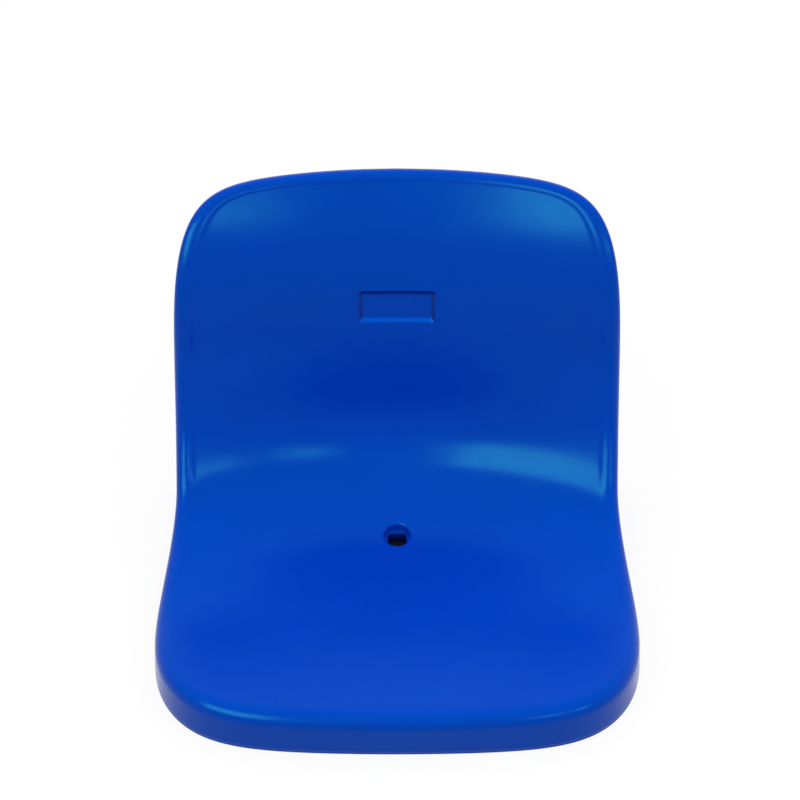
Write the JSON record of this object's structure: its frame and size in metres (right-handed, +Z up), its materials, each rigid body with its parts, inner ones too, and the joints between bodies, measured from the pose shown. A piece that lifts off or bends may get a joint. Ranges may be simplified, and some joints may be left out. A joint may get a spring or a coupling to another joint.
{
  "type": "stadium seat",
  "caption": "One-piece hollow plastic stadium seat with a dished pan, wrap-round back with a curled top, rounded rim, drain hole, number recess and threaded inserts in the base.",
  "frame": {"origin": "on the base plane, in the middle of the seat's width and depth", "axes": "+Z up, the sitter faces -Y, +X to the right as seen from the front"},
  "size_m": [0.4302, 0.4035, 0.3234],
  "materials": {
    "shell_plastic": "semi-gloss moulded",
    "insert_brass": "turned",
    "plug_plastic": "matt"
  },
  "bodies": {
    "root": {"seat_body": "shell_plastic", "threaded_insert_front_left": "insert_brass", "threaded_insert_front_right": "insert_brass", "threaded_insert_rear_left": "insert_brass", "threaded_insert_rear_right": "insert_brass", "blow_hole_plug": "plug_plastic"}
  },
  "joints": []
}
